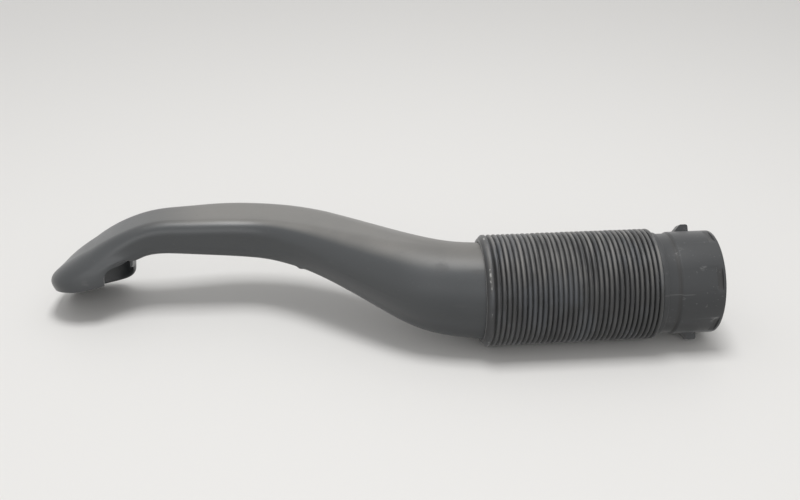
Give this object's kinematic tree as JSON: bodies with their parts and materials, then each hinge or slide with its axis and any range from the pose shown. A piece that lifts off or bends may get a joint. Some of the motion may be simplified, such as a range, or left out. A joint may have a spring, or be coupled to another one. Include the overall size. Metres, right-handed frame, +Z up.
{
  "type": "air intake tube",
  "caption": "Moulded engine air intake tube: hooded inlet, flattened swan-neck duct, corrugated hose and a push-on round coupling with lugs.",
  "frame": {"origin": "centre of the coupling's mouth, on the bore axis", "axes": "+X out of the coupling's mouth along the bore, +Z up as the tube lies at rest, +Y towards the side the duct sweeps to"},
  "size_m": [0.51, 0.1624, 0.084],
  "materials": {
    "duct_plastic": "satin blow-moulded skin",
    "hose_rubber": "matte, dusty on the ribs",
    "coupling_plastic": "fine matte moulding"
  },
  "bodies": {
    "root": {"snorkel_tube": "duct_plastic", "bellows_hose": "hose_rubber", "end_coupling": "coupling_plastic"}
  },
  "joints": []
}
